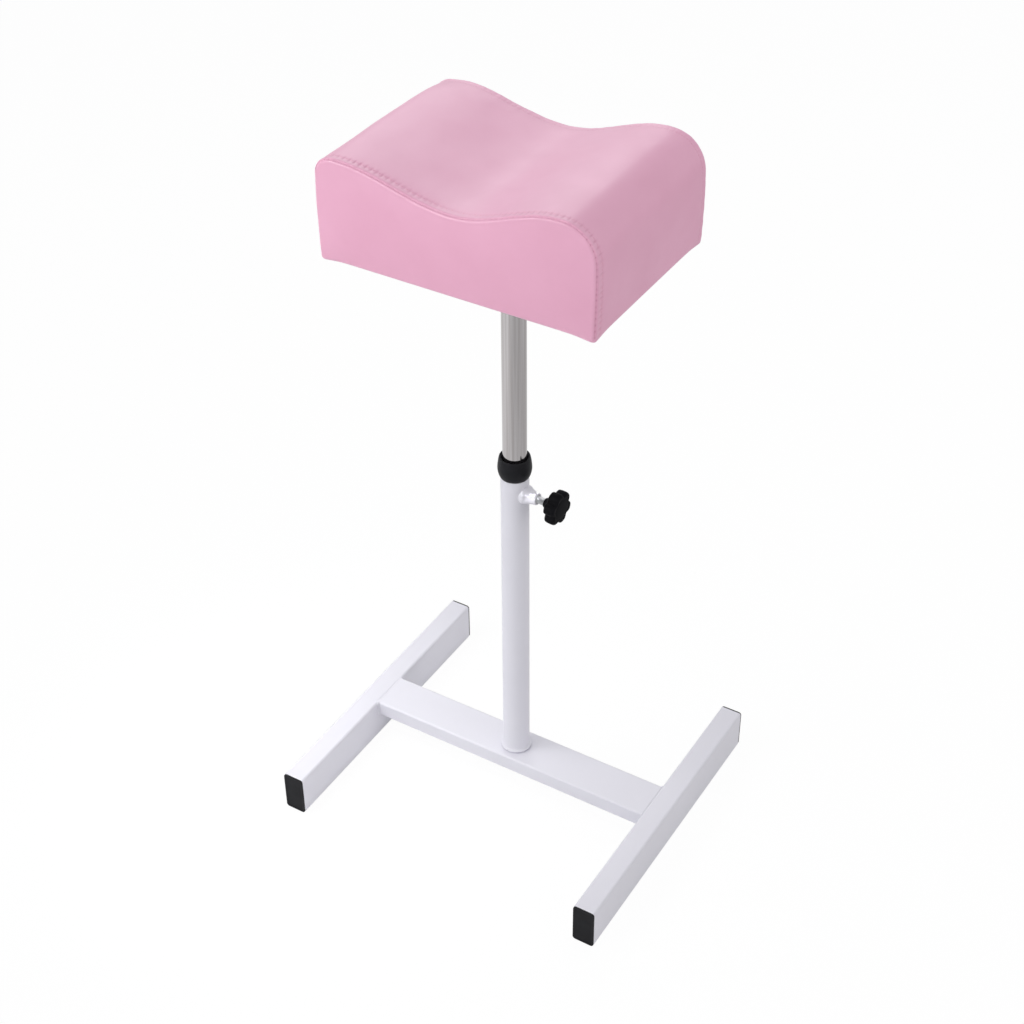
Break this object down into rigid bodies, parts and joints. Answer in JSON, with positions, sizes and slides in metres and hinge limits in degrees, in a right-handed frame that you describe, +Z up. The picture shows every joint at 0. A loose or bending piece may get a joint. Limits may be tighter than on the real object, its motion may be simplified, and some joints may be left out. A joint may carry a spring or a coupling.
{
  "type": "pedicure footrest",
  "caption": "Pedicure footrest: wave-topped padded cushion on a chromed mast that slides and swivels in a clamped post on a white base with two floor rails.",
  "frame": {"origin": "on the floor, below the post axis, midway between the rails", "axes": "+Z up along the post and mast; +X along the crossbar towards the clamp knob; +Y along the rails towards the back"},
  "size_m": [0.402, 0.355, 0.8095],
  "materials": {
    "white_coat": "white powder coat, satin, with a faint orange peel",
    "black_plastic": "black moulded plastic, satin",
    "chrome": "bright chrome plate on steel tube",
    "zinc": "bright zinc plate on steel",
    "nylon": "natural nylon",
    "leatherette": "pink upholstery leatherette, satin, with a fine grain",
    "dust_cloth": "black non-woven cloth",
    "plywood": "bare plywood",
    "foam": "upholstery foam"
  },
  "bodies": {
    "base": {"left_rail": "white_coat", "right_rail": "white_coat", "left_front_cap": "black_plastic", "left_rear_cap": "black_plastic", "right_front_cap": "black_plastic", "right_rear_cap": "black_plastic", "crossbar": "white_coat", "foot_washer": "zinc", "foot_spring_washer": "zinc", "foot_screw": "zinc", "post": "white_coat", "post_foot_plug": "zinc", "collar": "black_plastic", "clamp_boss": "white_coat"},
    "guide": {"guide_ring": "nylon"},
    "mast": {"mast": "chrome", "mast_plug": "black_plastic", "mounting_plate": "zinc", "dust_cover": "dust_cloth", "seat_board": "plywood", "foam_core": "foam", "cover_front_panel": "leatherette", "cover_back_panel": "leatherette", "cover_strip": "leatherette", "plate_screw_1": "zinc", "plate_screw_2": "zinc", "plate_screw_3": "zinc", "plate_screw_4": "zinc", "tnut_1": "zinc", "tnut_2": "zinc", "tnut_3": "zinc", "tnut_4": "zinc"},
    "clamp_pad": {"clamp_pad": "nylon"},
    "clamp_knob": {"clamp_knob": "black_plastic", "clamp_screw": "zinc"}
  },
  "joints": [
    {"name": "height_slide", "type": "slide", "parent": "base", "child": "guide", "axis": [0, 0, 1], "range_m": [-0.2, 0.06]},
    {"name": "cushion_swivel", "type": "hinge", "parent": "guide", "child": "mast", "pos_m": [0, 0, 0.2871], "axis": [0, 0, 1], "continuous": true},
    {"name": "clamp_travel", "type": "slide", "parent": "base", "child": "clamp_pad", "axis": [0.9976, -0.0698, 0], "range_m": [0, 0.0026]},
    {"name": "clamp_turn", "type": "hinge", "parent": "clamp_pad", "child": "clamp_knob", "pos_m": [0, 0, 0.415], "axis": [0.9976, -0.0698, 0], "range_deg": [0, 720]}
  ],
  "couplings": [
    {"joint": "clamp_travel", "follows": "clamp_turn", "m_per_rad": 0.00019894}
  ]
}
